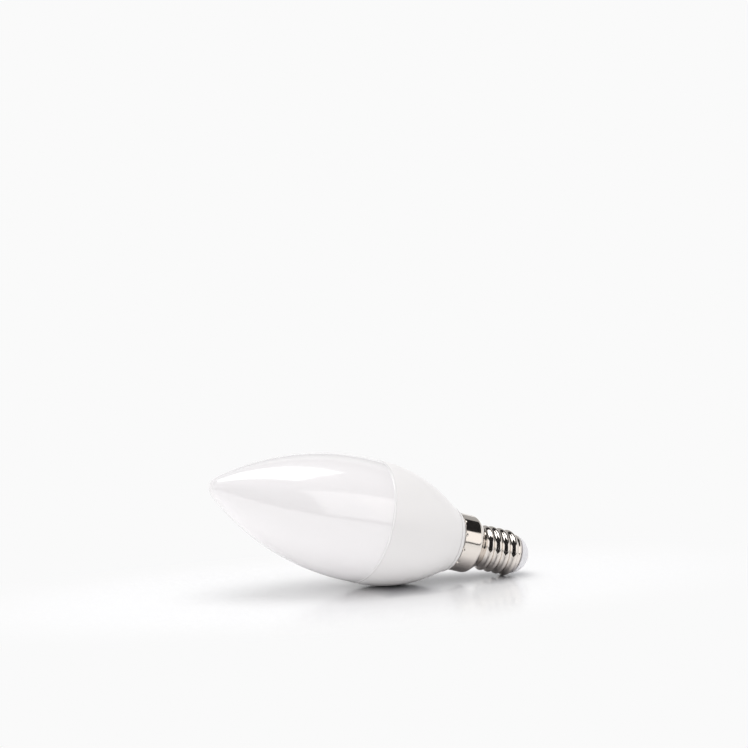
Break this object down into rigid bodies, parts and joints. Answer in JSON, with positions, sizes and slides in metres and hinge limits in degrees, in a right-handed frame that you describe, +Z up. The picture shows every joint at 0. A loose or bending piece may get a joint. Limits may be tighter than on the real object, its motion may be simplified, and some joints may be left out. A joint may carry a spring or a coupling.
{
  "type": "led candle bulb",
  "caption": "LED candle bulb: opal flame-shaped diffuser on a flared white housing, with a small nickel-plated screw cap and centre contact.",
  "frame": {"origin": "on the floor, under the middle of the bulb's box as it lies at rest", "axes": "+Z up; the bulb lies along X with its tip at -X and raised, its screw cap at +X; +Y across"},
  "size_m": [0.104, 0.0372, 0.0408],
  "materials": {
    "opal_diffuser": "glossy opal polycarbonate",
    "white_housing": "satin moulded white plastic",
    "nickel_cap": "bright nickel-plated brass sheet",
    "cap_insulator": "smooth pale plastic",
    "contact_metal": "nickel-plated, slightly dull"
  },
  "bodies": {
    "root": {"diffuser": "opal_diffuser", "housing": "white_housing", "screw_cap": "nickel_cap", "cap_insulator": "cap_insulator", "centre_contact": "contact_metal"}
  },
  "joints": []
}
